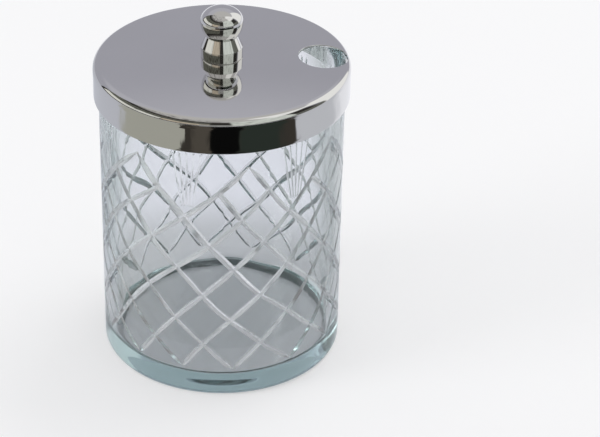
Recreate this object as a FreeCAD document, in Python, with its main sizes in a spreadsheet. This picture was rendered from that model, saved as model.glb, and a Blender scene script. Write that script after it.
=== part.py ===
import FreeCAD, Part

# A cut-glass storage jar with a loose domed metal lid: the glass, the lid with its
# spoon hole, and the turned knob that is fixed to the lid. Millimetres, +Z up, the
# origin at the centre of the face that the jar stands on, +X towards the spoon hole.

import math
import os

import Sketcher
from FreeCAD import Placement, Rotation, Vector

doc = FreeCAD.newDocument("StorageJar")

# ---------------------------------------------------------------- driving sizes
SIZES = {
    # glass
    "jar_diameter": 73.0,
    "jar_height": 94.7,
    "wall": 3.4,
    "base_thickness": 6.2,
    "heel_radius": 2.0,
    "inner_heel_radius": 1.6,
    "lip_radius": 1.5,
    # diamond cutting on the glass
    "cut_repeats": 7,
    "cut_rows": 8,
    "cut_foot": 9.7,
    "cut_headroom": 15.4,
    "cut_depth": 0.24,
    "cut_half_angle": 57.0,
    "cut_azimuth": -86.0,
    "fan_rays": 5,
    "fan_spread": 10.5,
    "fan_gap": 3.0,
    "fan_headroom": 12.8,
    "fan_depth": 0.14,
    # lid, pressed from sheet
    "lid_play": 0.8,
    "lid_sheet": 0.7,
    "skirt_depth": 10.8,
    "lid_bend": 2.3,
    "dome_rise": 1.1,
    "spoon_hole_diameter": 14.6,
    "spoon_hole_margin": 0.9,
    # knob, turned from bar
    "foot_diameter": 12.4,
    "foot_height": 3.3,
    "neck_diameter": 9.3,
    "neck_height": 3.3,
    "head_diameter": 12.6,
    "head_taper": 4.7,
    "head_crown": 4.4,
    "foot_land": 1.0,
    "foot_relief_depth": 0.3,
}


def make_sheet():
    """The spreadsheet that every other object reads its sizes from."""
    sheet = doc.addObject("Spreadsheet::Sheet", "sizes")
    for row, (alias, value) in enumerate(SIZES.items(), start=1):
        sheet.set(f"A{row}", alias)
        sheet.set(f"B{row}", str(value))
        sheet.setAlias(f"B{row}", alias)
    doc.recompute()
    return sheet


sizes = make_sheet()

JAR_RADIUS = "sizes.jar_diameter / 2"
LID_RADIUS = "(sizes.jar_diameter / 2 + sizes.lid_play + sizes.lid_sheet)"
LID_TOP = "(sizes.jar_height + sizes.lid_sheet)"
LIP_RADIUS = "min(sizes.lip_radius; 0.45 * sizes.wall)"
RELIEF_RADIUS = "(sizes.foot_diameter / 2 - sizes.foot_land)"


# ---------------------------------------------------------------- helpers
def origin_plane(body, role):
    """One of the body's own origin planes or axes, found by its role."""
    return next(item for item in body.Origin.OriginFeatures if item.Role == role)


def add_sketch(body, name, role, height=None):
    """An empty sketch on one of the body's origin planes, raised by an expression."""
    sketch = body.newObject("Sketcher::SketchObject", name)
    sketch.AttachmentSupport = [(origin_plane(body, role), "")]
    sketch.MapMode = "FlatFace"
    if height:
        sketch.setExpression("AttachmentOffset.Base.z", height)
    return sketch


def add_circle(body, name, radius, height=None, reach=None):
    """A sketch with one circle, on the vertical axis or at a distance along +X."""
    sketch = add_sketch(body, name, "XY_Plane", height)
    sketch.addGeometry(Part.Circle(Vector(1, 0, 0), Vector(0, 0, 1), 1), False)
    if reach:
        sketch.addConstraint(Sketcher.Constraint("PointOnObject", 0, 3, -1))
        sketch.addConstraint(Sketcher.Constraint("DistanceX", -1, 1, 0, 3, 1.0))
        sketch.renameConstraint(1, "reach")
        sketch.setExpression("Constraints.reach", reach)
    else:
        sketch.addConstraint(Sketcher.Constraint("Coincident", 0, 3, -1, 1))
    sketch.addConstraint(Sketcher.Constraint("Radius", 0, 1.0))
    sketch.renameConstraint(sketch.ConstraintCount - 1, "radius")
    sketch.setExpression("Constraints.radius", radius)
    return sketch


def ring_edge(shape, radius, height):
    """The name of the full circle of this radius at this height, for a fillet."""
    around = 2 * math.pi * radius
    for number, edge in enumerate(shape.Edges, start=1):
        if abs(edge.Length - around) < 1e-3 and abs(edge.CenterOfMass.z - height) < 1e-3:
            return f"Edge{number}"
    raise ValueError(f"no ring of radius {radius} at height {height}")


def round_ring(body, name, radius, height, fillet):
    """Round one circular edge of the body's tip."""
    doc.recompute()
    tip = body.Tip
    feature = body.newObject("PartDesign::Fillet", name)
    feature.Base = (tip, [ring_edge(tip.Shape, radius, height)])
    feature.setExpression("Radius", fillet)
    doc.recompute()
    return feature


# ---------------------------------------------------------------- glass
def cut_row_height(row):
    """Height of a row of crossings: row 0 holds the peaks and the last row the feet."""
    top = sizes.jar_height - sizes.cut_headroom
    return sizes.cut_foot + (top - sizes.cut_foot) * (1 - row / sizes.cut_rows)


def blank_jar():
    """The jar as it is blown, before it is cut: thick base, straight wall, round lip."""
    body = doc.addObject("PartDesign::Body", "jar_blank")
    wall = body.newObject("PartDesign::Pad", "jar_outside")
    wall.Profile = add_circle(body, "jar_outside_circle", JAR_RADIUS)
    wall.setExpression("Length", "sizes.jar_height")
    doc.recompute()

    hollow = body.newObject("PartDesign::Pocket", "jar_hollow")
    hollow.Profile = add_circle(body, "jar_hollow_circle", f"{JAR_RADIUS} - sizes.wall",
                                "sizes.jar_height")
    hollow.setExpression("Length", "sizes.jar_height - sizes.base_thickness")
    doc.recompute()

    outer = sizes.jar_diameter / 2
    inner = outer - sizes.wall
    round_ring(body, "heel", outer, 0, "sizes.heel_radius")
    round_ring(body, "inner_heel", inner, sizes.base_thickness, "sizes.inner_heel_radius")
    round_ring(body, "outer_lip", outer, sizes.jar_height, LIP_RADIUS)
    round_ring(body, "inner_lip", inner, sizes.jar_height, LIP_RADIUS)
    return body


def on_wall(azimuth, height):
    """A point on the outside of the glass, from its azimuth in degrees and height."""
    turn = math.radians(azimuth)
    radius = sizes.jar_diameter / 2
    return Vector(radius * math.cos(turn), radius * math.sin(turn), height)


def v_stroke(start, end, depth):
    """The metal of a V-edged wheel along one straight stroke between two wall points.

    The stroke is a chord of the round wall, so it lies `depth` under the surface at
    its two ends and deeper midway.
    """
    along = end - start
    middle = (start + end) * 0.5
    outward = Vector(middle.x, middle.y, 0).normalize()
    side = along.cross(outward).normalize()
    up = side.cross(along).normalize()
    edge = start - up * depth
    rise = depth + 1.5
    spread = rise * math.tan(math.radians(sizes.cut_half_angle))
    corners = [edge, edge + up * rise + side * spread, edge + up * rise - side * spread, edge]
    return Part.Face(Part.makePolygon(corners)).extrude(along)


def diamond_strokes():
    """The criss-cross strokes: a net of diamonds whose top edge rises to tall peaks.

    Columns are half a diamond wide and rows half a diamond high. Row 0 holds only the
    peaks, one for each repeat, and below it the net is complete.
    """
    columns = 4 * int(sizes.cut_repeats)
    column_turn = 360.0 / columns
    rows = int(sizes.cut_rows)
    strokes = []
    for row in range(rows):
        for column in range(row % 2, columns, 2):
            if row == 0 and column % 4:
                continue
            azimuth = sizes.cut_azimuth + column * column_turn
            for lean in (-1, 1):
                start = on_wall(azimuth, cut_row_height(row))
                end = on_wall(azimuth + lean * column_turn, cut_row_height(row + 1))
                family_depth = sizes.cut_depth * (1.0 if lean > 0 else 1.12)
                strokes.append(v_stroke(start, end, family_depth))
    return strokes


def fan_strokes():
    """The fine upright strokes that spread from each valley between two peaks."""
    repeats = int(sizes.cut_repeats)
    rays = int(sizes.fan_rays)
    foot_height = cut_row_height(2) + sizes.fan_gap
    full_rise = sizes.jar_height - sizes.fan_headroom - foot_height
    strokes = []
    for repeat in range(repeats):
        azimuth = sizes.cut_azimuth + (repeat + 0.5) * 360.0 / repeats
        for ray in range(rays):
            share = ray / (rays - 1) - 0.5
            top_height = foot_height + full_rise * (1 - 0.5 * abs(share))
            foot = on_wall(azimuth + 0.35 * share * sizes.fan_spread, foot_height)
            top = on_wall(azimuth + share * sizes.fan_spread, top_height)
            strokes.append(v_stroke(foot, top, sizes.fan_depth))
    return strokes


def cut_jar():
    """The finished glass: the blank with every stroke taken out of it."""
    blank = blank_jar()
    strokes = doc.addObject("Part::Feature", "wheel_strokes")
    strokes.Shape = Part.makeCompound(diamond_strokes() + fan_strokes())
    jar = doc.addObject("Part::Cut", "glass_jar")
    jar.Base = blank
    jar.Tool = strokes
    doc.recompute()
    return jar


# ---------------------------------------------------------------- lid
def dome_profile(body, name, radius, rim, crown):
    """A closed half section on XZ: axis, flat foot, upright side and a domed top.

    The foot lies on the plane z = 0; `rim` and `crown` are the heights of the dome's
    edge and middle. All three are expressions.
    """
    sketch = add_sketch(body, name, "XZ_Plane")
    foot_out, rim_out, crown_in = Vector(10, 0, 0), Vector(10, 5, 0), Vector(0, 6, 0)
    mid = Vector(5.0, 5.77, 0)
    sketch.addGeometry([
        Part.LineSegment(Vector(0, 0, 0), foot_out),
        Part.LineSegment(foot_out, rim_out),
        Part.Arc(rim_out, mid, crown_in),
        Part.LineSegment(crown_in, Vector(0, 0, 0)),
    ], False)
    foot, side, dome, axis = range(4)
    rules = [
        Sketcher.Constraint("Coincident", foot, 1, -1, 1),
        Sketcher.Constraint("Coincident", foot, 2, side, 1),
        Sketcher.Constraint("Coincident", side, 2, dome, 1),
        Sketcher.Constraint("Coincident", dome, 2, axis, 1),
        Sketcher.Constraint("Coincident", axis, 2, foot, 1),
        Sketcher.Constraint("Horizontal", foot),
        Sketcher.Constraint("Vertical", side),
        Sketcher.Constraint("PointOnObject", dome, 3, -2),
        Sketcher.Constraint("PointOnObject", dome, 2, -2),
        Sketcher.Constraint("DistanceX", foot, 1, foot, 2, 10.0),
        Sketcher.Constraint("DistanceY", side, 1, side, 2, 5.0),
        Sketcher.Constraint("DistanceY", foot, 1, dome, 2, 6.0),
    ]
    sketch.addConstraint(rules)
    named = {"radius": radius, "rim": rim, "crown": crown}
    for index, (label, expression) in enumerate(named.items(), start=len(rules) - 3):
        sketch.renameConstraint(index, label)
        sketch.setExpression(f"Constraints.{label}", expression)
    return sketch


def make_lid():
    """The lid: a shallow dome, a rounded bend, a straight skirt and the spoon hole.

    It is modelled from the foot of its skirt up and placed on the lip of the glass.
    """
    body = doc.addObject("PartDesign::Body", "lid")
    rim_height = "sizes.skirt_depth"
    outside = body.newObject("PartDesign::Revolution", "lid_outside")
    outside.Profile = dome_profile(body, "lid_outside_half", LID_RADIUS, rim_height,
                                   f"{rim_height} + sizes.dome_rise")
    outside.ReferenceAxis = (outside.Profile[0], ["V_Axis"])
    outside.Angle = 360

    inside = body.newObject("PartDesign::Groove", "lid_inside")
    inside.Profile = dome_profile(body, "lid_inside_half", f"{LID_RADIUS} - sizes.lid_sheet",
                                  f"{rim_height} - sizes.lid_sheet",
                                  f"{rim_height} - sizes.lid_sheet + sizes.dome_rise")
    inside.ReferenceAxis = (inside.Profile[0], ["V_Axis"])
    inside.Angle = 360
    lid_radius = sizes.jar_diameter / 2 + sizes.lid_play + sizes.lid_sheet
    round_ring(body, "lid_inner_bend", lid_radius - sizes.lid_sheet,
               sizes.skirt_depth - sizes.lid_sheet, "sizes.lid_bend - sizes.lid_sheet")
    round_ring(body, "lid_outer_bend", lid_radius, sizes.skirt_depth, "sizes.lid_bend")

    hole = body.newObject("PartDesign::Pocket", "spoon_hole")
    hole.Profile = add_circle(
        body, "spoon_hole_circle", "sizes.spoon_hole_diameter / 2",
        f"{rim_height} + 2 * sizes.dome_rise",
        f"{LID_RADIUS} - sizes.spoon_hole_margin - sizes.spoon_hole_diameter / 2")
    hole.setExpression("Length", "sizes.lid_bend + sizes.lid_sheet + 3 * sizes.dome_rise")
    body.setExpression("Placement.Base.z", f"{LID_TOP} - sizes.skirt_depth")
    doc.recompute()
    return body


# ---------------------------------------------------------------- knob
def make_knob():
    """The knob: a round foot, a tapering neck and an egg-shaped head, turned in one."""
    foot = doc.addObject("Part::Cylinder", "knob_foot")
    foot.setExpression("Radius", "sizes.foot_diameter / 2")
    foot.setExpression("Height", "sizes.foot_height")

    neck = doc.addObject("Part::Cone", "knob_neck")
    neck.setExpression("Radius1", "sizes.foot_diameter / 2")
    neck.setExpression("Radius2", "sizes.neck_diameter / 2")
    neck.setExpression("Height", "sizes.neck_height")
    neck.setExpression("Placement.Base.z", "sizes.foot_height")

    waist = "(sizes.neck_diameter / sizes.head_diameter)"
    middle = "sizes.foot_height + sizes.neck_height + sizes.head_taper"
    lower = doc.addObject("Part::Ellipsoid", "knob_head_taper")
    lower.setExpression("Radius1", f"sizes.head_taper / sqrt(1 - {waist} * {waist})")
    lower.Angle1, lower.Angle2 = -90, 0
    upper = doc.addObject("Part::Ellipsoid", "knob_head_crown")
    upper.setExpression("Radius1", "sizes.head_crown")
    upper.Angle1, upper.Angle2 = 0, 90
    for half in (lower, upper):
        half.setExpression("Radius2", "sizes.head_diameter / 2")
        half.setExpression("Radius3", "sizes.head_diameter / 2")
        half.setExpression("Placement.Base.z", middle)

    solid = doc.addObject("Part::MultiFuse", "knob_solid")
    solid.Shapes = [foot, neck, lower, upper]
    solid.Refine = True
    relief = doc.addObject("Part::Cylinder", "knob_relief")
    relief.setExpression("Radius", RELIEF_RADIUS)
    relief.setExpression("Height", "sizes.foot_relief_depth")

    knob = doc.addObject("Part::Cut", "knob")
    knob.Base = solid
    knob.Tool = relief
    share = f"({RELIEF_RADIUS} / {LID_RADIUS})"
    knob.setExpression("Placement.Base.z",
                       f"{LID_TOP} + sizes.dome_rise * (1 - {share} * {share})")
    doc.recompute()
    return knob


# ---------------------------------------------------------------- check and write
def check_document(parts):
    """Stop if any object failed or any part is not one sound solid."""
    doc.recompute()
    for item in doc.Objects:
        if "Invalid" in item.State or "Error" in item.State:
            raise RuntimeError(f"{item.Name} failed: {item.State}")
    for part in parts:
        shape = part.Shape
        if shape.isNull() or not shape.isValid() or len(shape.Solids) != 1:
            raise RuntimeError(f"{part.Label} is not one valid solid")


def write_parts(parts):
    """Write each part to a STEP file named after its label."""
    os.makedirs("parts", exist_ok=True)
    for part in parts:
        part.Shape.Solids[0].exportStep(os.path.join("parts", f"{part.Label}.step"))


pieces = [cut_jar(), make_lid(), make_knob()]
check_document(pieces)
write_parts(pieces)
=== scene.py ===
"""A cut-glass storage jar with a loose domed lid and a turned knob, dressed for a soft studio view."""

import logging
import math
from collections.abc import Sequence
from dataclasses import dataclass, field
from enum import Enum

import bpy
import numpy as np
from mathutils import Matrix, Vector

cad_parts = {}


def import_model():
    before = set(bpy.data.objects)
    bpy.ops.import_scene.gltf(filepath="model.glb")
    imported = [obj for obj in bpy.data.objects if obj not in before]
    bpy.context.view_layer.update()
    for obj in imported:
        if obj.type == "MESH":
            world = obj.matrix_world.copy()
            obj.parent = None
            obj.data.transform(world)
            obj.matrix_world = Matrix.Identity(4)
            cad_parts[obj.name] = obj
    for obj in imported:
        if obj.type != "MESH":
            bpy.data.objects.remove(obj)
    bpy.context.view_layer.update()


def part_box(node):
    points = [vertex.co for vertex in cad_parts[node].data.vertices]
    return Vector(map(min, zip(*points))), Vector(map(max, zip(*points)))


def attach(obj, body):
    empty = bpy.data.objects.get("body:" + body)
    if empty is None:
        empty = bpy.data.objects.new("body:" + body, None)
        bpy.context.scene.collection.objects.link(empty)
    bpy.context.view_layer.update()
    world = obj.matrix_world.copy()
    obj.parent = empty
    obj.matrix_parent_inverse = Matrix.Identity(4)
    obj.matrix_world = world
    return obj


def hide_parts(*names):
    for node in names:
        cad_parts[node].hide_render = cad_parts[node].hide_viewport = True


LOG = logging.getLogger("jar")
MM = 0.001
BODY = "root"


class Slot(Enum):
    """Names for material slots, which nothing in this script uses."""

    GLASS = "glass"
    LID = "plated_lid"
    KNOB = "plated_knob"


# --------------------------------------------------------------------------- frame
@dataclass(frozen=True)
class FrameSizes:
    """The main sizes of the three CAD nodes, in metres, read from their boxes.

    Attributes:
        jar_radius: outside radius of the glass.
        jar_height: height of its lip.
        lid_radius: outside radius of the lid's skirt.
        lid_foot: height of the skirt's lower edge.
        lid_crown: height of the middle of the dome.
        knob_foot: height of the knob's seat.
        knob_top: height of the top of the knob.
        knob_radius: largest radius of the knob.
    """

    jar_radius: float
    jar_height: float
    lid_radius: float
    lid_foot: float
    lid_crown: float
    knob_foot: float
    knob_top: float
    knob_radius: float

    @classmethod
    def from_frame(cls) -> "FrameSizes":
        """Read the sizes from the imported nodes.

        Returns:
            The sizes of the model that is loaded.
        """
        jar_low, jar_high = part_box("glass_jar")
        lid_low, lid_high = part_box("lid")
        knob_low, knob_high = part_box("knob")
        return cls(
            jar_radius=jar_high[0],
            jar_height=jar_high[2],
            lid_radius=lid_high[0],
            lid_foot=lid_low[2],
            lid_crown=lid_high[2],
            knob_foot=knob_low[2],
            knob_top=knob_high[2],
            knob_radius=knob_high[0],
        )


# --------------------------------------------------------------------------- meshes
@dataclass
class MeshParts:
    """Points and faces gathered from several surfaces that share vertices by index.

    Attributes:
        points: blocks of points, each of shape (n, 3), in metres.
        faces: vertex numbers of each face, wound so that it faces outward.
    """

    points: list[np.ndarray] = field(default_factory=list)
    faces: list[tuple[int, ...]] = field(default_factory=list)

    @property
    def count(self) -> int:
        """Number of points so far."""
        return sum(len(block) for block in self.points)

    def add_points(self, block: np.ndarray) -> np.ndarray:
        """Add points.

        Args:
            block: an array whose last axis holds x, y and z.

        Returns:
            The new vertex numbers, in the block's own shape.
        """
        first = self.count
        flat = block.reshape(-1, 3)
        self.points.append(flat)
        return np.arange(first, first + len(flat)).reshape(block.shape[:-1])

    def add_faces(self, corners: np.ndarray) -> None:
        """Add faces that all have as many corners as the last axis is long.

        Args:
            corners: an integer array of shape (..., corners per face).
        """
        self.faces.extend(map(tuple, corners.reshape(-1, corners.shape[-1]).tolist()))

    def bridge(self, first: np.ndarray, second: np.ndarray) -> None:
        """Join two closed rings of equal length with quads.

        Args:
            first: vertex numbers of one ring, running anticlockwise seen from above.
            second: the ring above it on an outside wall, or below it on an inside one.
        """
        nxt_first, nxt_second = np.roll(first, -1), np.roll(second, -1)
        self.add_faces(np.stack([first, nxt_first, nxt_second, second], axis=-1))

    def cap(self, ring: np.ndarray, pole: np.ndarray) -> None:
        """Close a ring with a fan of triangles that meet in one point.

        Args:
            ring: vertex numbers, running so that the cap faces outward.
            pole: the point in the middle, as x, y and z.
        """
        centre = self.add_points(pole.reshape(1, 3))[0]
        middle = np.full(len(ring), centre)
        self.add_faces(np.stack([ring, np.roll(ring, -1), middle], axis=-1))

    def build(self, name: str, sharp_degrees: float) -> bpy.types.Object:
        """Turn the parts into one smooth-shaded object.

        Args:
            name: the object's name.
            sharp_degrees: edges that turn more than this stay sharp.

        Returns:
            The new object, linked to the scene.
        """
        mesh = bpy.data.meshes.new(name)
        mesh.from_pydata(np.concatenate(self.points).tolist(), [], self.faces)
        mesh.validate()
        mesh.polygons.foreach_set("use_smooth", np.ones(len(mesh.polygons), dtype=bool))
        mesh.set_sharp_from_angle(angle=math.radians(sharp_degrees))
        mesh.update()
        piece = bpy.data.objects.new(name, mesh)
        bpy.context.scene.collection.objects.link(piece)
        return piece


def arc(centre: tuple[float, float], radius: float, start: float, stop: float,
        steps: int) -> np.ndarray:
    """Points along a circular arc of a profile.

    Args:
        centre: radius and height of the arc's centre.
        radius: the arc's own radius.
        start: first angle in degrees, counted from outward towards up.
        stop: last angle in degrees.
        steps: number of steps between them.

    Returns:
        An array of shape (steps + 1, 2) of radius and height.
    """
    turn = np.radians(np.linspace(start, stop, steps + 1))
    return np.stack([centre[0] + radius * np.cos(turn), centre[1] + radius * np.sin(turn)], axis=-1)


def lathe(profile: np.ndarray, azimuths: np.ndarray) -> np.ndarray:
    """Spin a profile about the vertical axis.

    Args:
        profile: an array of shape (n, 2) of radius and height.
        azimuths: the angles of the spun copies, in radians.

    Returns:
        Points of shape (n, len(azimuths), 3).
    """
    radius, height = profile[:, 0, None], profile[:, 1, None]
    return np.stack(
        [radius * np.cos(azimuths), radius * np.sin(azimuths), height + 0 * azimuths], axis=-1)


def ease(value: np.ndarray) -> np.ndarray:
    """Smooth step: 3 v squared minus 2 v cubed.

    Args:
        value: any numbers; those under 0 count as 0 and those over 1 as 1.

    Returns:
        Values from 0 to 1 that start and end level.
    """
    held = np.clip(value, 0.0, 1.0)
    return held * held * (3 - 2 * held)


def scatter(*numbers: np.ndarray | int) -> np.ndarray:
    """A repeatable value from 0 to 1 for each set of whole numbers.

    It is the fractional part of a large multiple of the sine of a weighted sum.

    Args:
        numbers: up to three whole numbers or arrays of them.

    Returns:
        The values, in the shape that the arrays broadcast to.
    """
    weights, multiple = (12.9898, 78.233, 37.719), 43758.5453
    total = sum(weight * np.asarray(number, dtype=float) for weight, number in zip(weights, numbers))
    return np.mod(np.sin(total) * multiple, 1.0)


@dataclass(frozen=True)
class Wave:
    """One sine of the unevenness that a hand or a blowpipe leaves.

    Attributes:
        size: its height.
        round_turns: how many times it repeats round the axis.
        rise: how far its phase moves on for each step up or down.
        phase: its phase at the start.
    """

    size: float
    round_turns: float
    rise: float
    phase: float

    def at(self, turn: np.ndarray, step: np.ndarray) -> np.ndarray:
        """The size times the sine of: repeats times azimuth, plus rise times step, plus phase.

        Args:
            turn: azimuth in radians.
            step: place up or down, in steps.

        Returns:
            The wave's value.
        """
        return self.size * np.sin(self.round_turns * turn + self.rise * step + self.phase)


# --------------------------------------------------------------------------- dressing
def finish(piece: bpy.types.Object, node: str, material: bpy.types.Material) -> None:
    """Finish a piece and let it stand for its CAD node.

    Args:
        piece: the new piece.
        node: the CAD node that it replaces.
        material: its finish.
    """
    piece.data.materials.append(material)
    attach(piece, BODY)
    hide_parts(node)
    LOG.info("%s: %d faces", piece.name, len(piece.data.polygons))


# --------------------------------------------------------------------------- glass
@dataclass
class GlassJar:
    """The glass: a thick-based jar whose wall is cut with a net of V-edged strokes.

    The net is drawn in columns and rows. A column is half a diamond wide and a row half
    a diamond high. Row 0 holds the tips of the tall peaks, and the last row the points
    at the foot. Strokes of one family fall to the right and of the other to the left.

    Attributes:
        radius: outside radius of the wall.
        height: height of the lip.
        wall: thickness of the wall.
        base: thickness of the base.
        heel: rounding of the base's outside edge.
        inner_heel: rounding of the inside's lower corner.
        lip: rounding of both edges of the lip.
        repeats: number of tall peaks round the glass.
        rows: number of rows of the net.
        cut_foot: height of the net's lowest points.
        cut_pitch: height of a row.
        cut_azimuth: azimuth of the first peak.
        depth_top: depth of the strokes, midway, in the top row.
        depth_foot: the same in the last row.
        crossing_share: depth at a crossing as a share of the depth midway.
        half_angle: half the angle between the two faces of a stroke.
        least_half_width: the grid lines' least distance from a crossing, as a share of
            the diamond's side.
        steps: grid steps along the side of a diamond.
        twist: azimuth of the whole net from its even place, in degrees.
        drifts: waves of the azimuth in degrees, whose steps are rows.
        bob: wave of the height in metres, whose steps are rows.
        ripples: waves of the inside's radius as a share, whose steps are jar heights.
    """

    radius: float
    height: float
    wall: float = 3.4 * MM
    base: float = 6.2 * MM
    heel: float = 2.0 * MM
    inner_heel: float = 1.6 * MM
    lip: float = 1.5 * MM
    repeats: int = 7
    rows: int = 8
    cut_foot: float = 9.7 * MM
    cut_pitch: float = 8.7 * MM
    cut_azimuth: float = math.radians(-86.0)
    depth_top: float = 0.64 * MM
    depth_foot: float = 0.50 * MM
    crossing_share: float = 0.86
    half_angle: float = math.radians(57.0)
    least_half_width: float = 0.012
    steps: int = 18
    twist: float = 2.6
    drifts: Sequence[Wave] = (
        Wave(4.1, 0, 0.44, 2.56),
        Wave(1.9, 3, -0.45, 2.55),
        Wave(0.7, 5, 0.27, 2.46),
    )
    bob: Wave = Wave(0.35 * MM, 4, 2.1, 0.0)
    ripples: Sequence[Wave] = (
        Wave(0.0022, 3, 4, 0.0),
        Wave(0.6 * 0.0022, 7, -9, 0.0),
        Wave(0.4 * 0.0022, 13, 14, 0.0),
    )

    @property
    def columns(self) -> int:
        """Number of columns round the glass."""
        return 4 * self.repeats

    @property
    def column_turn(self) -> float:
        """Angle of one column, in radians."""
        return 2 * math.pi / self.columns

    @property
    def stroke_length(self) -> float:
        """Length of a stroke from one crossing to the next."""
        return math.hypot(self.column_turn * self.radius, self.cut_pitch)

    def stroke_depth(self, family: int, column: np.ndarray, row: np.ndarray,
                     along: np.ndarray) -> np.ndarray:
        """Depth of the stroke that starts at a crossing and runs down to the next row.

        A stroke is shallow at the crossings and deep midway, by the parabola 4 a (1 - a) of
        the place a along it. The strokes get shallower from the top of the net to its foot,
        and each one is a little deeper or shallower than the next, as a hand holds it. A
        stroke runs out at the foot of the net and thins towards the tip of a peak.

        Args:
            family: +1 for strokes that fall to the right, -1 to the left.
            column: column of the stroke's upper crossing.
            row: row of that crossing.
            along: place along the stroke, 0 at the upper crossing and 1 at the lower.

        Returns:
            The depth in metres, 0 where there is no stroke.
        """
        least, spread = 0.84, 0.26
        tip_share, tip_length, run_out_length = 0.35, 0.45, 0.16
        column = np.mod(column, self.columns)
        present = ((row >= 1) & (row < self.rows)) | ((row == 0) & (column % 4 == 0))
        middle = self.depth_top + (self.depth_foot - self.depth_top) * row / (self.rows - 1)
        arch = 4 * along * (1 - along)
        depth = middle * (self.crossing_share + (1 - self.crossing_share) * arch)
        depth = depth * (least + spread * scatter(column, row, 5 + family))
        tip = np.where(row == 0, tip_share + (1 - tip_share) * ease(along / tip_length), 1.0)
        run_out = np.where(row == self.rows - 1, ease((1 - along) / run_out_length), 1.0)
        return np.where(present, depth * tip * run_out, 0.0)

    def net_to_wall(self, column: np.ndarray, row: np.ndarray) -> tuple[np.ndarray, np.ndarray]:
        """Place a point of the net on the wall, with the unevenness of hand cutting.

        The azimuth drifts by a constant, by one slow sine down the rows, which twists the
        peaks a little to the right, and by two sines that also close on themselves round the
        glass. The height wanders by one sine that dies out at the net's edges.

        Args:
            column: columns from the net's first peak.
            row: rows below the tips of the peaks.

        Returns:
            Azimuth in radians and height in metres.
        """
        fade_top, fade_foot = 2, 1.5
        turn = column * 2 * math.pi / self.columns
        drift = self.twist + sum(wave.at(turn, row) for wave in self.drifts)
        azimuth = self.cut_azimuth + turn + np.radians(drift)
        fade = ease((row + 1) / fade_top) * ease((self.rows - row) / fade_foot)
        height = self.cut_foot + (self.rows - row) * self.cut_pitch
        return azimuth, height + fade * self.bob.at(turn, row)

    def place(self, step: np.ndarray, low: np.ndarray, high: np.ndarray) -> np.ndarray:
        """Place the grid lines of one diamond so that some follow the strokes' edges.

        The first two steps reach from the crossing to the stroke's edge, the last two do so
        from the other side, and the rest are even between the two edges.

        Args:
            step: number of the line, from 0 to `steps`.
            low: half width of the stroke at line 0, as a share of the diamond's side.
            high: the same at the last line.

        Returns:
            The place of the line as a share of the side.
        """
        last = self.steps
        middle = low + (1 - low - high) * (step - 2) / (last - 4)
        place = np.where(step <= 2, step * low / 2, middle)
        return np.where(step >= last - 2, 1 - (last - step) * high / 2, place)

    def outer_net(self) -> tuple[np.ndarray, np.ndarray]:
        """Work out the cut part of the outside wall.

        The surface is a grid whose lines run along the two families of strokes. Line
        number i counts strokes that fall to the left and j those that fall to the right;
        i + j is the line's level and i - j its way round. Where the grid lines go depends on
        the strokes' widths there and the widths on the lines, so a few rounds settle both.
        The wall is cut by the deepest of the four strokes round a diamond, each a V whose
        depth falls evenly from its middle to its edge.

        Returns:
            Points of shape (levels, round, 3), and the azimuths of the same shape.
        """
        n = self.steps
        level = np.arange(-n, self.rows * n + 1)[:, None]
        count = self.columns * n // 2
        around = 2 * np.arange(count)[None, :] + np.mod(level, 2)
        i, j = (level + around) // 2, (level - around) // 2
        cell_i, step_i = i // n, i % n
        cell_j, step_j = j // n, j % n
        column, row = cell_i - cell_j, cell_i + cell_j

        def half_widths(u: np.ndarray, v: np.ndarray) -> list[tuple[np.ndarray, np.ndarray]]:
            """Size the strokes on the four sides of each diamond.

            The half width is the depth times the tangent of the stroke's half angle.

            Args:
                u: place across the strokes that fall to the left, from 0 to 1.
                v: place across the strokes that fall to the right.

            Returns:
                Depth in metres, and half width as a share of the side, of each stroke.
            """
            sides = [
                self.stroke_depth(-1, column, row, v),
                self.stroke_depth(-1, column + 1, row + 1, v),
                self.stroke_depth(1, column, row, u),
                self.stroke_depth(1, column - 1, row + 1, u),
            ]
            reach = math.tan(self.half_angle) / self.stroke_length
            return [(depth, np.maximum(depth * reach, self.least_half_width)) for depth in sides]

        u, v = step_i / n, step_j / n
        settling_rounds = 4
        for _ in range(settling_rounds):
            sides = half_widths(u, v)
            u = self.place(step_i, sides[0][1], sides[1][1])
            v = self.place(step_j, sides[2][1], sides[3][1])
        sides = half_widths(u, v)
        distances = (u, 1 - u, v, 1 - v)
        cuts = [depth * np.clip(1 - away / half, 0, 1)
                for (depth, half), away in zip(sides, distances)]
        cut = np.maximum.reduce(cuts)
        azimuth, height = self.net_to_wall((cell_i + u) - (cell_j + v), (cell_i + u) + (cell_j + v))
        radius = self.radius - cut
        points = np.stack([radius * np.cos(azimuth), radius * np.sin(azimuth),
                           height + 0 * azimuth], axis=-1)
        return points, azimuth

    def weave(self, parts: MeshParts, grid: np.ndarray) -> None:
        """Face the staggered grid of the net with diamonds, and with triangles at its rims.

        Args:
            parts: the mesh under construction.
            grid: vertex numbers of shape (levels, round).
        """
        levels = len(grid)
        for level in range(levels - 1):
            odd = (level - self.steps) % 2
            here, below = grid[level], grid[level + 1]
            left = np.roll(below, 1) if not odd else below
            right = below if not odd else np.roll(below, -1)
            if level + 2 < levels:
                parts.add_faces(np.stack([here, left, grid[level + 2], right], axis=-1))
            if level == 0:
                parts.add_faces(np.stack([here, right, np.roll(here, -1)], axis=-1))
            if level == levels - 2:
                nxt = np.roll(below, -1)
                upper = here if odd else np.roll(here, -1)
                parts.add_faces(np.stack([below, nxt, upper], axis=-1))

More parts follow.
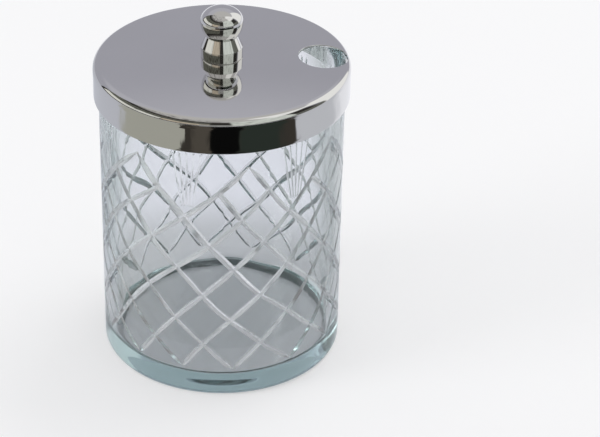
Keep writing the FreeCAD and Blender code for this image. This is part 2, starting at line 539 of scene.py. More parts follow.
    def build(self) -> bpy.types.Object:
        """Make the whole glass as one closed mesh.

        Returns:
            The new object.
        """
        round_steps, wall_steps = 10, 27
        under_net, over_heel, under_lip = 1.2 * MM, 2.4 * MM, 6 * MM
        parts = MeshParts()
        net, azimuth = self.outer_net()
        grid = parts.add_points(net)
        self.weave(parts, grid)
        top_azimuth, foot_azimuth = azimuth[0], azimuth[-1]
        inner = self.radius - self.wall

        heel_centre = (self.radius - self.heel, self.heel)
        below = np.concatenate([
            [(self.radius, self.cut_foot - under_net), (self.radius, self.heel + over_heel)],
            arc(heel_centre, self.heel, 0, -90, round_steps),
            [(0.66 * self.radius, 0), (0.33 * self.radius, 0)],
        ])
        outside = parts.add_points(lathe(below, foot_azimuth))
        rings = [grid[-1], *outside]
        for upper, lower in zip(rings, rings[1:]):
            parts.bridge(lower, upper)
        parts.cap(rings[-1][::-1], np.array([0.0, 0.0, 0.0]))

        lip_out, lip_in = self.radius - self.lip, inner + self.lip
        floor_centre = (inner - self.inner_heel, self.base + self.inner_heel)
        above = np.concatenate([
            arc((lip_out, self.height - self.lip), self.lip, 0, 90, round_steps),
            arc((lip_in, self.height - self.lip), self.lip, 90, 180, round_steps),
            [(inner, height) for height in
             np.linspace(self.height - under_lip, self.base + 2 * self.inner_heel, wall_steps + 1)],
            arc(floor_centre, self.inner_heel, 0, -90, round_steps),
            [(share * inner, self.base) for share in (0.8, 0.6, 0.4, 0.2)],
        ])
        spun = lathe(above, top_azimuth)
        inside = spun[2 * (round_steps + 1):]
        inside *= self.inside_unevenness(inside)
        rings = [grid[0], *parts.add_points(spun)]
        for lower, upper in zip(rings, rings[1:]):
            parts.bridge(lower, upper)
        parts.cap(rings[-1], np.array([0.0, 0.0, self.base]))
        return parts.build("jar_glass", sharp_degrees=22)

    def inside_unevenness(self, points: np.ndarray) -> np.ndarray:
        """Slow ripples of the inside wall, as blown glass has, as a factor on x and y.

        The factor is 1 plus the sum of the ripples, which fade out just under the lip.

        Args:
            points: points of the inside, of shape (rings, round, 3).

        Returns:
            Factors of the same shape, 1 for z.
        """
        azimuth = np.arctan2(points[..., 1], points[..., 0])
        height = points[..., 2] / self.height
        calm_from, fade = 0.93, 0.1
        ripple = sum(wave.at(azimuth, height) for wave in self.ripples)
        factor = 1 + ripple * ease((calm_from - height) / fade)
        return np.stack([factor, factor, np.ones_like(factor)], axis=-1)

    def dress(self) -> None:
        """Build the glass and finish it in cut glass."""
        finish(self.build(), "glass_jar", CutGlass().build(self))


# --------------------------------------------------------------------------- lid
@dataclass
class Lid:
    """The lid, pressed from sheet: dome, bend and skirt, with a round hole for a spoon.

    Attributes:
        radius: outside radius of the skirt.
        foot: height of the skirt's lower edge.
        crown: height of the middle of the dome.
        sheet: thickness of the sheet.
        bend: outside radius of the bend between dome and skirt.
        rise: how far the dome's middle stands over its edge.
        hole_radius: radius of the spoon hole.
        hole_margin: distance from the hole to the outside of the skirt.
        burr: rounding of the hole's edges.
        around: number of points round the lid.
        ray_steps: steps of each ray from the hole to the skirt.
    """

    radius: float
    foot: float
    crown: float
    sheet: float = 0.7 * MM
    bend: float = 2.3 * MM
    rise: float = 1.1 * MM
    hole_radius: float = 7.3 * MM
    hole_margin: float = 0.9 * MM
    burr: float = 0.14 * MM
    around: int = 320
    ray_steps: int = 109

    @property
    def rim(self) -> float:
        """Height where the dome meets the bend."""
        return self.crown - self.rise

    def top_profile(self, inset: float) -> np.ndarray:
        """Half section of the dome and the bend, from the axis to the top of the skirt.

        The dome is a parabola that drops by `rise` at its edge, which for so shallow a
        dome is as good as a ball. The bend is a quarter circle.

        Args:
            inset: 0 for the outside, the sheet's thickness for the inside.

        Returns:
            Radius and height, of shape (n, 2).
        """
        dome_points, bend_steps = 60, 24
        edge = self.radius - self.bend
        across = edge * np.linspace(0, 1, dome_points)
        lift = self.rise * (1 - (across / edge) ** 2)
        dome = np.stack([across, self.rim + lift - inset], axis=-1)
        bend = arc((edge, self.rim - self.bend), self.bend - inset, 90, 0, bend_steps)
        return np.concatenate([dome, bend[1:]])

    def add_top(self, parts: MeshParts, inset: float, flip: bool) -> tuple[np.ndarray, np.ndarray]:
        """Add the dome and bend of one side, as rays from the hole's edge to the skirt.

        The top is laid out flat, where the distance from the axis is the length along the
        section. There each ray runs straight, away from the hole's middle, from the hole's
        edge to the circle of the skirt's top. It meets that circle, of radius R, at the
        distance from the hole's middle that is the root of (t squared + R squared - f
        squared) less t, where f is the middle's distance from the axis and t is that
        distance's share along the ray.

        Args:
            parts: the mesh under construction.
            inset: 0 for the outside, the sheet's thickness for the inside.
            flip: True where the side faces down.

        Returns:
            Vertex numbers of the ring at the hole and of the ring at the skirt.
        """
        profile = self.top_profile(inset)
        length = np.concatenate([[0], np.cumsum(np.hypot(*np.diff(profile, axis=0).T))])
        turn = np.linspace(0, 2 * math.pi, self.around, endpoint=False)
        reach = self.radius - self.hole_margin - self.hole_radius
        edge = self.hole_radius + self.burr
        hole_x, hole_y = reach + edge * np.cos(turn), edge * np.sin(turn)
        hole_length = np.interp(np.hypot(hole_x, hole_y), profile[:, 0], length)
        hole_turn = np.arctan2(hole_y, hole_x)
        start = np.stack([hole_length * np.cos(hole_turn), hole_length * np.sin(hole_turn)], -1)
        focus = np.array([np.interp(reach, profile[:, 0], length), 0.0])
        ray = np.stack([np.cos(turn), np.sin(turn)], axis=-1)
        towards = ray @ focus
        to_rim = -towards + np.sqrt(towards ** 2 + length[-1] ** 2 - focus @ focus)
        end = focus + to_rim[:, None] * ray
        share = np.linspace(0, 1, self.ray_steps + 1)[:, None, None]
        flat = start * (1 - share) + end * share
        along = np.hypot(flat[..., 0], flat[..., 1])
        azimuth = np.arctan2(flat[..., 1], flat[..., 0])
        radius = np.interp(along, length, profile[:, 0])
        height = np.interp(along, length, profile[:, 1])
        points = np.stack([radius * np.cos(azimuth), radius * np.sin(azimuth), height], axis=-1)
        rings = parts.add_points(points)
        for inside, outside in zip(rings, rings[1:]):
            parts.bridge(*((inside, outside) if flip else (outside, inside)))
        return rings[0], rings[-1]

    def build(self) -> bpy.types.Object:
        """Make the lid as one closed mesh.

        Returns:
            The new object.
        """
        parts = MeshParts()
        hole_top, skirt_top = self.add_top(parts, 0.0, flip=False)
        hole_under, skirt_under = self.add_top(parts, self.sheet, flip=True)
        points = np.concatenate(parts.points)
        azimuths = np.arctan2(points[skirt_top, 1], points[skirt_top, 0])
        lip = self.sheet / 2
        round_steps, skirt_points = 10, 9
        outer_foot = arc((self.radius - lip, self.foot + lip), lip, 0, -180, round_steps)
        straight = np.linspace(self.rim - self.bend, self.foot + lip, skirt_points)
        below = np.concatenate([
            [(self.radius, height) for height in straight[1:-1]], outer_foot,
            [(self.radius - self.sheet, height) for height in straight[-2:0:-1]],
        ])
        rings = [skirt_top, *parts.add_points(lathe(below, azimuths)), skirt_under]
        for upper, lower in zip(rings, rings[1:]):
            parts.bridge(lower, upper)
        self.add_hole_wall(parts, points[hole_top], points[hole_under], hole_top, hole_under)
        return parts.build("lid_shell", sharp_degrees=40)

    def add_hole_wall(self, parts: MeshParts, top: np.ndarray, under: np.ndarray,
                      top_ring: np.ndarray, under_ring: np.ndarray) -> None:
        """Add the hole's wall, with its edges broken by a small round.

        Args:
            parts: the mesh under construction.
            top: points of the ring where the dome ends at the hole.
            under: the same for the underside.
            top_ring: vertex numbers of `top`.
            under_ring: vertex numbers of `under`.
        """
        centre = np.array([self.radius - self.hole_margin - self.hole_radius, 0.0])
        rings = [top_ring]
        for side, points in ((1, top), (-1, under)):
            flat = points[:, :2] - centre
            outward = flat / np.linalg.norm(flat, axis=1, keepdims=True)
            turns = np.radians((30, 60, 90) if side > 0 else (90, 60, 30))
            for turn in turns:
                ring = points.copy()
                ring[:, :2] = centre + outward * (self.hole_radius
                                                  + self.burr * (1 - math.sin(turn)))
                ring[:, 2] -= side * self.burr * (1 - math.cos(turn))
                rings.append(parts.add_points(ring))
        rings.append(under_ring)
        for upper, lower in zip(rings, rings[1:]):
            parts.bridge(upper, lower)

    def dress(self) -> None:
        """Build the lid and finish it in bright plate."""
        finish(self.build(), "lid", BrightPlate("plate_lid").build())


# --------------------------------------------------------------------------- knob
@dataclass
class Knob:
    """The knob, turned from bar: a round foot, a tapering neck and an egg-shaped head.

    Attributes:
        foot: height of its seat.
        top: height of its top.
        head_radius: its largest radius.
        foot_radius: radius of the round foot.
        foot_height: height of the foot.
        neck_radius: radius of the neck where it meets the head.
        neck_height: height of the neck.
        taper: height from the end of the neck to where the head is widest.
        relief_radius: radius of the hollow under the foot.
        relief: depth of that hollow.
        edge: rounding of the foot's upper edge.
        seat_edge: rounding of its lower edge.
        around: number of points round the knob.
    """

    foot: float
    top: float
    head_radius: float
    foot_radius: float = 6.2 * MM
    foot_height: float = 3.3 * MM
    neck_radius: float = 4.65 * MM
    neck_height: float = 3.3 * MM
    taper: float = 4.7 * MM
    relief_radius: float = 5.2 * MM
    relief: float = 0.3 * MM
    edge: float = 0.18 * MM
    seat_edge: float = 0.32 * MM
    around: int = 192

    def profile(self) -> np.ndarray:
        """Half section from the middle of the seat round to the top.

        The head's lower and upper halves are quarter ellipses that meet where it is
        widest; the lower one is cut off where it is as narrow as the neck. Its height is
        `taper` divided by the root of (1 less the square of neck over head radius), so that
        the cut lies `taper` below the widest place.

        Returns:
            Radius and height, of shape (n, 2).
        """
        seat_steps, shoulder_steps, low_points, high_points = 6, 5, 26, 30
        waist = self.foot + self.foot_height + self.neck_height
        middle = waist + self.taper
        slope = math.degrees(math.atan2(self.neck_height, self.foot_radius - self.neck_radius))
        shoulder_turn = 90 - slope
        edge, radius = self.edge, self.foot_radius
        shoulder_drop = edge * math.tan(math.radians(shoulder_turn / 2))
        shoulder = arc((radius - edge, self.foot + self.foot_height - shoulder_drop), edge,
                       0, shoulder_turn, shoulder_steps)
        neck_share = self.neck_radius / self.head_radius
        low_reach = self.taper / math.sqrt(1 - neck_share ** 2)
        start = -math.acos(neck_share)
        low = np.linspace(start, 0, low_points)
        high = np.linspace(0, math.pi / 2, high_points)[1:-1]
        head_low = np.stack([self.head_radius * np.cos(low), middle + low_reach * np.sin(low)], -1)
        head_high = np.stack([self.head_radius * np.cos(high),
                              middle + (self.top - middle) * np.sin(high)], -1)
        return np.concatenate([
            [(self.relief_radius, self.foot + self.relief), (self.relief_radius, self.foot)],
            arc((radius - self.seat_edge, self.foot + self.seat_edge), self.seat_edge, -90, 0,
                seat_steps),
            shoulder,
            head_low,
            head_high,
        ])

    def build(self) -> bpy.types.Object:
        """Make the knob as one closed mesh.

        Returns:
            The new object.
        """
        parts = MeshParts()
        turn = np.linspace(0, 2 * math.pi, self.around, endpoint=False)
        rings = parts.add_points(lathe(self.profile(), turn))
        for lower, upper in zip(rings, rings[1:]):
            parts.bridge(lower, upper)
        parts.cap(rings[0][::-1], np.array([0.0, 0.0, self.foot + self.relief]))
        parts.cap(rings[-1], np.array([0.0, 0.0, self.top]))
        return parts.build("knob_turned", sharp_degrees=32)

    def dress(self) -> None:
        """Build the knob and finish it in bright plate, with fainter waves than the sheet's."""
        plate = BrightPlate("plate_knob", wave=0.0015 * MM)
        finish(self.build(), "knob", plate.build())


# --------------------------------------------------------------------------- finishes
class NodePen:
    """Short calls for drawing a node tree.

    Attributes:
        tree: the tree that is drawn in.
    """

    def __init__(self, tree: bpy.types.NodeTree) -> None:
        """Start on an empty tree.

        Args:
            tree: the tree to draw in; its old nodes are removed.
        """
        self.tree = tree
        tree.nodes.clear()

    def node(self, kind: str, settings: dict | None = None, **inputs: object) -> bpy.types.Node:
        """Add a node.

        Args:
            kind: the node's type name.
            settings: attributes to set on the node.
            inputs: value or socket for each input, by its name with underscores for spaces,
                or in0, in1 and so on by its number; a colour is three numbers.

        Returns:
            The new node.
        """
        made = self.tree.nodes.new(kind)
        for name, value in (settings or {}).items():
            setattr(made, name, value)
        for name, value in inputs.items():
            numbered = name.startswith("in") and name[2:].isdigit()
            socket = made.inputs[int(name[2:])] if numbered else made.inputs[name.replace("_", " ")]
            if isinstance(value, bpy.types.NodeSocket):
                self.tree.links.new(value, socket)
            elif socket.type == "RGBA":
                socket.default_value = (*value, 1)
            else:
                socket.default_value = value
        return made

    def math(self, operation: str, *values: object, clamp: bool = False) -> bpy.types.NodeSocket:
        """Add a math node.

        Args:
            operation: what it does.
            values: a number or a socket for each of its inputs.
            clamp: True to hold the result between 0 and 1.

        Returns:
            The result.
        """
        inputs = {f"in{number}": value for number, value in enumerate(values)}
        return self.node("ShaderNodeMath", {"operation": operation, "use_clamp": clamp},
                         **inputs).outputs[0]

    def product(self, *factors: object) -> bpy.types.NodeSocket:
        """Multiply two or more factors.

        Args:
            factors: numbers or sockets.

        Returns:
            Their product.
        """
        result = factors[0]
        for factor in factors[1:]:
            result = self.math("MULTIPLY", result, factor)
        return result

    def vector(self, operation: str, **inputs: object) -> bpy.types.NodeSocket:
        """Add a vector math node.

        Args:
            operation: what it does.
            inputs: its inputs, as for `node`.

        Returns:
            The resulting vector.
        """
        return self.node("ShaderNodeVectorMath", {"operation": operation}, **inputs).outputs[0]

    def ramp(self, value: bpy.types.NodeSocket, source: tuple[float, float],
             target: tuple[object, object], kind: str = "LINEAR") -> bpy.types.NodeSocket:
        """Carry a value over from one range to another, and hold it beyond both ends.

        Args:
            value: the value.
            source: the two ends of its range.
            target: what the two ends become.
            kind: LINEAR for a straight line, SMOOTHSTEP for one that starts and ends level.

        Returns:
            The carried value.
        """
        return self.node("ShaderNodeMapRange", {"interpolation_type": kind}, Value=value,
                         From_Min=source[0], From_Max=source[1],
                         To_Min=target[0], To_Max=target[1]).outputs[0]

    def band(self, value: bpy.types.NodeSocket, low: float, high: float,
             soft: float) -> bpy.types.NodeSocket:
        """Tell where a value lies between two limits.

        Args:
            value: the value.
            low: lower limit.
            high: upper limit.
            soft: how far outside the limits the mask falls to 0.

        Returns:
            A mask, 1 between the limits and 0 well outside them.
        """
        up = self.ramp(value, (low - soft, low), (0.0, 1.0), "SMOOTHSTEP")
        down = self.ramp(value, (high, high + soft), (1.0, 0.0), "SMOOTHSTEP")
        return self.product(up, down)

    def noise(self, place: bpy.types.NodeSocket, scale: float, detail: float,
              roughness: float = 0.5) -> bpy.types.NodeSocket:
        """Add a soft random pattern.

        Args:
            place: the point to look it up at.
            scale: how many patches there are in a unit of length.
            detail: how many finer patterns are laid over the first.
            roughness: how strong each finer one is against the one before.

        Returns:
            The pattern, about 0.5 on average.
        """
        return self.node("ShaderNodeTexNoise", Vector=place, Scale=scale, Detail=detail,
                         Roughness=roughness).outputs[0]

    def blend(self, share: object, low: object, high: object) -> bpy.types.NodeSocket:
        """Blend two colours.

        Args:
            share: share of the second colour.
            low: the first colour, three numbers or a socket.
            high: the second one.

        Returns:
            The blended colour.
        """
        return self.node("ShaderNodeMix", {"data_type": "RGBA"}, Factor=share,
                         in6=low, in7=high).outputs[2]

    def either(self, share: object, first: bpy.types.NodeSocket,
               second: bpy.types.NodeSocket) -> bpy.types.NodeSocket:
        """Mix two shaders.

        Args:
            share: share of the second shader.
            first: the first shader.
            second: the second one.

        Returns:
            The mixed shader.
        """
        return self.node("ShaderNodeMixShader", in0=share, in1=first, in2=second).outputs[0]

    def place(self, kind: str = "Object") -> tuple[bpy.types.NodeSocket, ...]:
        """Look up where the ray meets the surface, or where it leads to.

        Args:
            kind: Object for a place on the object, Generated for a direction in the world.

        Returns:
            The place as a vector, and its x, y and z.
        """
        vector = self.node("ShaderNodeTexCoord").outputs[kind]
        return (vector, *self.node("ShaderNodeSeparateXYZ", Vector=vector).outputs)

    def heading(self, x: bpy.types.NodeSocket,
                y: bpy.types.NodeSocket) -> tuple[bpy.types.NodeSocket, bpy.types.NodeSocket]:
        """Azimuth in degrees from the camera's side, positive to its right.

        Args:
            x: the place along X.
            y: the place along Y.

        Returns:
            The azimuth from -180 to 180, and the same from -125 to 235.
        """
        seam = -125.0
        azimuth = self.math("DEGREES", self.math("ARCTAN2", x, self.product(y, -1.0)))
        behind = self.math("LESS_THAN", azimuth, seam)
        return azimuth, self.math("ADD", azimuth, self.product(behind, 360.0))

    def rays(self) -> tuple[bpy.types.NodeSocket, bpy.types.NodeSocket, bpy.types.NodeSocket]:
        """Tell the kinds of rays apart.

        Returns:
            Masks that are 1 for rays from the camera, for mirrored rays, and for rays that
            came through glass and have met nothing matt.
        """
        path = self.node("ShaderNodeLightPath").outputs
        direct = self.math("LESS_THAN", path["Diffuse Depth"], 0.5)
        through = self.product(path["Is Transmission Ray"], direct)
        return path["Is Camera Ray"], path["Is Glossy Ray"], through


def new_material(name: str) -> tuple[bpy.types.Material, NodePen]:
    """Make an empty material.

    Args:
        name: its name.

    Returns:
        The material, and a pen for its node tree.
    """
    material = bpy.data.materials.new(name)
    material.use_nodes = True
    return material, NodePen(material.node_tree)


@dataclass(frozen=True)
class CutGlass:
    """Clear, faintly green glass: polished wall, satin strokes and fine fans of lines.

    Attributes:
        tint: what is left of white after `tint_depth` of glass.
        tint_depth: that depth.
        satin: roughness inside the strokes.
        milk: share of the light that the ground strokes scatter as white.
        fan_polish: share by which a line of a fan scatters less than a stroke.
        fan_lines: number of lines in a fan.
        fan_spacing: angle between two lines of a fan, in radians.
        fan_half_width: half the width of such a line.
        fan_slope: sideways slope of its two faces.
        fan_source: how far below the valley the lines of a fan meet.
        fan_rise: how far above the valley they start.
        fan_headroom: how far below the lip they end.
        fan_drift: how far the fans stand to the right of the even net, in radians.
    """

    tint: tuple[float, float, float] = (0.918, 0.955, 0.957)
    tint_depth: float = 10 * MM
    satin: float = 0.12
    milk: float = 0.27
    fan_polish: float = 0.6
    fan_lines: int = 5
    fan_spacing: float = math.radians(4.4)
    fan_half_width: float = 0.33 * MM
    fan_slope: float = 0.30
    fan_source: float = 6.0 * MM
    fan_rise: float = 5.0 * MM
    fan_headroom: float = 12.0 * MM
    fan_drift: float = math.radians(4.0)

    def build(self, jar: GlassJar) -> bpy.types.Material:
        """Make the material.

        The polished glass is clear. A ground stroke is satin and scatters a share of the
        light: what passes clearly is 1 less milk times (ground less polish times fan).

        Args:
            jar: the glass, for the places of its strokes and fans.

        Returns:
            The new material.
        """
        material, pen = new_material("cut_glass")
        _, x, y, z = pen.place()
        radius = pen.math("SQRT", pen.math("ADD", pen.product(x, x), pen.product(y, y)))
        deepest, shallowest, net_headroom = 1.2 * MM, 0.03 * MM, 6 * MM
        in_stroke = pen.band(radius, jar.radius - deepest, jar.radius - shallowest, 0.02 * MM)
        in_net = pen.band(z, jar.cut_foot, jar.height - net_headroom, 0.5 * MM)
        normal, in_fans = self.fan_normal(pen, jar, (x, y, z), radius)
        ground = pen.math("ADD", pen.product(in_stroke, in_net), in_fans, clamp=True)
        scattered = pen.math("SUBTRACT", ground, pen.product(in_fans, self.fan_polish))
        clear = pen.math("SUBTRACT", 1.0, pen.product(scattered, self.milk))
        surface = pen.node("ShaderNodeBsdfPrincipled", Base_Color=(1, 1, 1), IOR=1.5,
                           Transmission_Weight=clear, Roughness=pen.product(ground, self.satin),
                           Normal=normal)
        color, density = self.absorption()
        volume = pen.node("ShaderNodeVolumeAbsorption", Color=color, Density=density)
        pen.node("ShaderNodeOutputMaterial", Surface=surface.outputs[0], Volume=volume.outputs[0])
        return material

    def absorption(self) -> tuple[tuple[float, ...], float]:
        """Colour and density of the absorbing volume.

        What is left after a depth is e to the power of: minus density times (1 - colour)
        times depth. So the colour is 1 plus the logarithm of what is left, divided by
        density times depth.

        Returns:
            The colour, and the density per metre.
        """
        density = 40.0
        color = tuple(1 + math.log(left) / (self.tint_depth * density) for left in self.tint)
        return color, density

    def fan_normal(self, pen: NodePen, jar: GlassJar, place: Sequence[bpy.types.NodeSocket],
                   radius: bpy.types.NodeSocket,
                   ) -> tuple[bpy.types.NodeSocket, bpy.types.NodeSocket]:
        """Surface direction, tilted where fine V strokes fan out above each valley.

        The lines of a fan meet in a point below its valley. They are spaced by their
        angle at that point. Each is a V whose two faces lean sideways by a fixed slope.

        Args:
            pen: pen for the glass's tree.
            jar: the glass.
            place: x, y and z of the place on the glass.
            radius: its distance from the axis.

        Returns:
            The direction for the shader's normal, and a mask that is 1 on the lines.
        """
        x, y, z = place
        azimuth = pen.math("ARCTAN2", y, x)
        sector = 2 * math.pi / jar.repeats
        offset = pen.math("SUBTRACT", azimuth, jar.cut_azimuth + self.fan_drift)
        in_sector = pen.math("FRACT", pen.math("DIVIDE", offset, sector))
        wrapped = pen.product(pen.math("SUBTRACT", in_sector, 0.5), sector)
        valley = jar.cut_foot + (jar.rows - 2) * jar.cut_pitch
        rise = pen.math("SUBTRACT", z, valley - self.fan_source)
        lean = pen.math("ARCTAN2", pen.product(wrapped, jar.radius), rise)
        number = pen.math("ADD", pen.math("DIVIDE", lean, self.fan_spacing), 0.5)
        cell = pen.math("SUBTRACT", pen.math("FRACT", number), 0.5)
        across = pen.product(cell, rise, self.fan_spacing)
        half_fan = self.fan_lines / 2 * self.fan_spacing
        mask = pen.product(
            pen.band(across, -self.fan_half_width, self.fan_half_width, 0.03 * MM),
            pen.band(lean, -half_fan, half_fan, 0.001),
            pen.band(z, valley + self.fan_rise, jar.height - self.fan_headroom, 1.5 * MM),
            pen.band(radius, jar.radius - 0.05 * MM, jar.radius + 1 * MM, 0.02 * MM))
        slope = pen.product(pen.math("SIGN", cell), mask, -self.fan_slope)
        sideways = pen.node("ShaderNodeCombineXYZ", X=pen.product(y, -1.0), Y=x).outputs[0]
        tilt = pen.vector("SCALE", in0=pen.vector("NORMALIZE", in0=sideways), Scale=slope)
        face = pen.node("ShaderNodeNewGeometry").outputs["Normal"]
        return pen.vector("NORMALIZE", in0=pen.vector("ADD", in0=face, in1=tilt)), mask


@dataclass(frozen=True)
class BrightPlate:
    """Bright nickel plate: a warm mirror with faint waves and polishing smears.

    Attributes:
        name: the material's name.
        color: what it reflects of white.
        wear: share by which the smears are darker or lighter.
        rough: roughness where it is most and least polished, in that order.
        smear_scale: how fine the smears are.
        wave: height of the slow waves of the sheet, in metres.
        wave_scale: how fine the waves are.
    """

    name: str
    color: tuple[float, float, float] = (0.735, 0.73, 0.72)
    wear: float = 0.03
    rough: tuple[float, float] = (0.03, 0.07)
    smear_scale: float = 45.0
    wave: float = 0.004 * MM
    wave_scale: float = 95.0

    def build(self) -> bpy.types.Material:
        """Make the material.

        Returns:
            The new material.
        """
        material, pen = new_material(self.name)
        place = pen.node("ShaderNodeTexCoord").outputs["Object"]
        smear = pen.noise(place, self.smear_scale, detail=4.0, roughness=0.6)
        waves = pen.noise(place, self.wave_scale, detail=1.0)
        bump = pen.node("ShaderNodeBump", Strength=1.0, Distance=1.0,
                        Height=pen.product(waves, self.wave)).outputs[0]
        dark = tuple((1 - self.wear) * part for part in self.color)
        light = tuple((1 + self.wear) * part for part in self.color)
        surface = pen.node("ShaderNodeBsdfPrincipled", Base_Color=pen.blend(smear, dark, light),
                           Metallic=1.0, Roughness=pen.ramp(smear, (0.35, 0.75), self.rough),
                           Normal=bump)
        pen.node("ShaderNodeOutputMaterial", Surface=surface.outputs[0])
        return material


# --------------------------------------------------------------------------- studio
@dataclass(frozen=True)
class Panel:
    """A soft-edged patch of the studio's surroundings, seen only in the metal and glass, where
    it paints reflections and highlights.

    Attributes:
        azimuth: its two sides, in degrees from the camera's side, positive to its right.
        elevation: its lower and upper edge, in degrees over the horizon.
        color: its tone.
        soft: how far its edges fade outwards, in degrees.
    """

    azimuth: tuple[float, float]
    elevation: tuple[float, float]
    color: tuple[float, float, float]
    soft: float = 6.0

    @property
    def all_round(self) -> bool:
        """Whether it goes round the whole horizon."""
        return self.azimuth[1] - self.azimuth[0] >= 360


@dataclass(frozen=True)
class ShadeBand:
    """One band of the glowing sheet that paints the reflection in the lid's skirt.

    Attributes:
        low: its left side, in degrees of azimuth from the camera's side.
        high: its right side.
        soft: how far its sides fade outwards, in degrees.
        color: its tone.
    """

    low: float
    high: float
    soft: float
    color: tuple[float, float, float]


@dataclass(frozen=True)
class Lamp:
    """A large soft lamp that looks at the object's foot.

    Attributes:
        name: its name.
        azimuth: where it stands, in degrees from the camera's side, positive to its right.
        elevation: its height in degrees over the horizon.
        size: its width in metres.
        watts: its power.
        away: its distance in metres.
    """

    name: str
    azimuth: float
    elevation: float
    size: float
    watts: float
    away: float = 1.0

    def hang(self) -> None:
        """Add the lamp; it lights the object but isn't mirrored in it."""
        turn, tilt = math.radians(self.azimuth), math.radians(self.elevation)
        towards = Vector((math.sin(turn) * math.cos(tilt), -math.cos(turn) * math.cos(tilt),
                          math.sin(tilt)))
        lamp = bpy.data.lights.new(self.name, "AREA")
        lamp.shape, lamp.size, lamp.energy = "DISK", self.size, self.watts
        holder = bpy.data.objects.new(self.name, lamp)
        holder.location = towards * self.away
        holder.rotation_euler = towards.to_track_quat("Z", "Y").to_euler()
        holder.visible_glossy = False
        bpy.context.scene.collection.objects.link(holder)


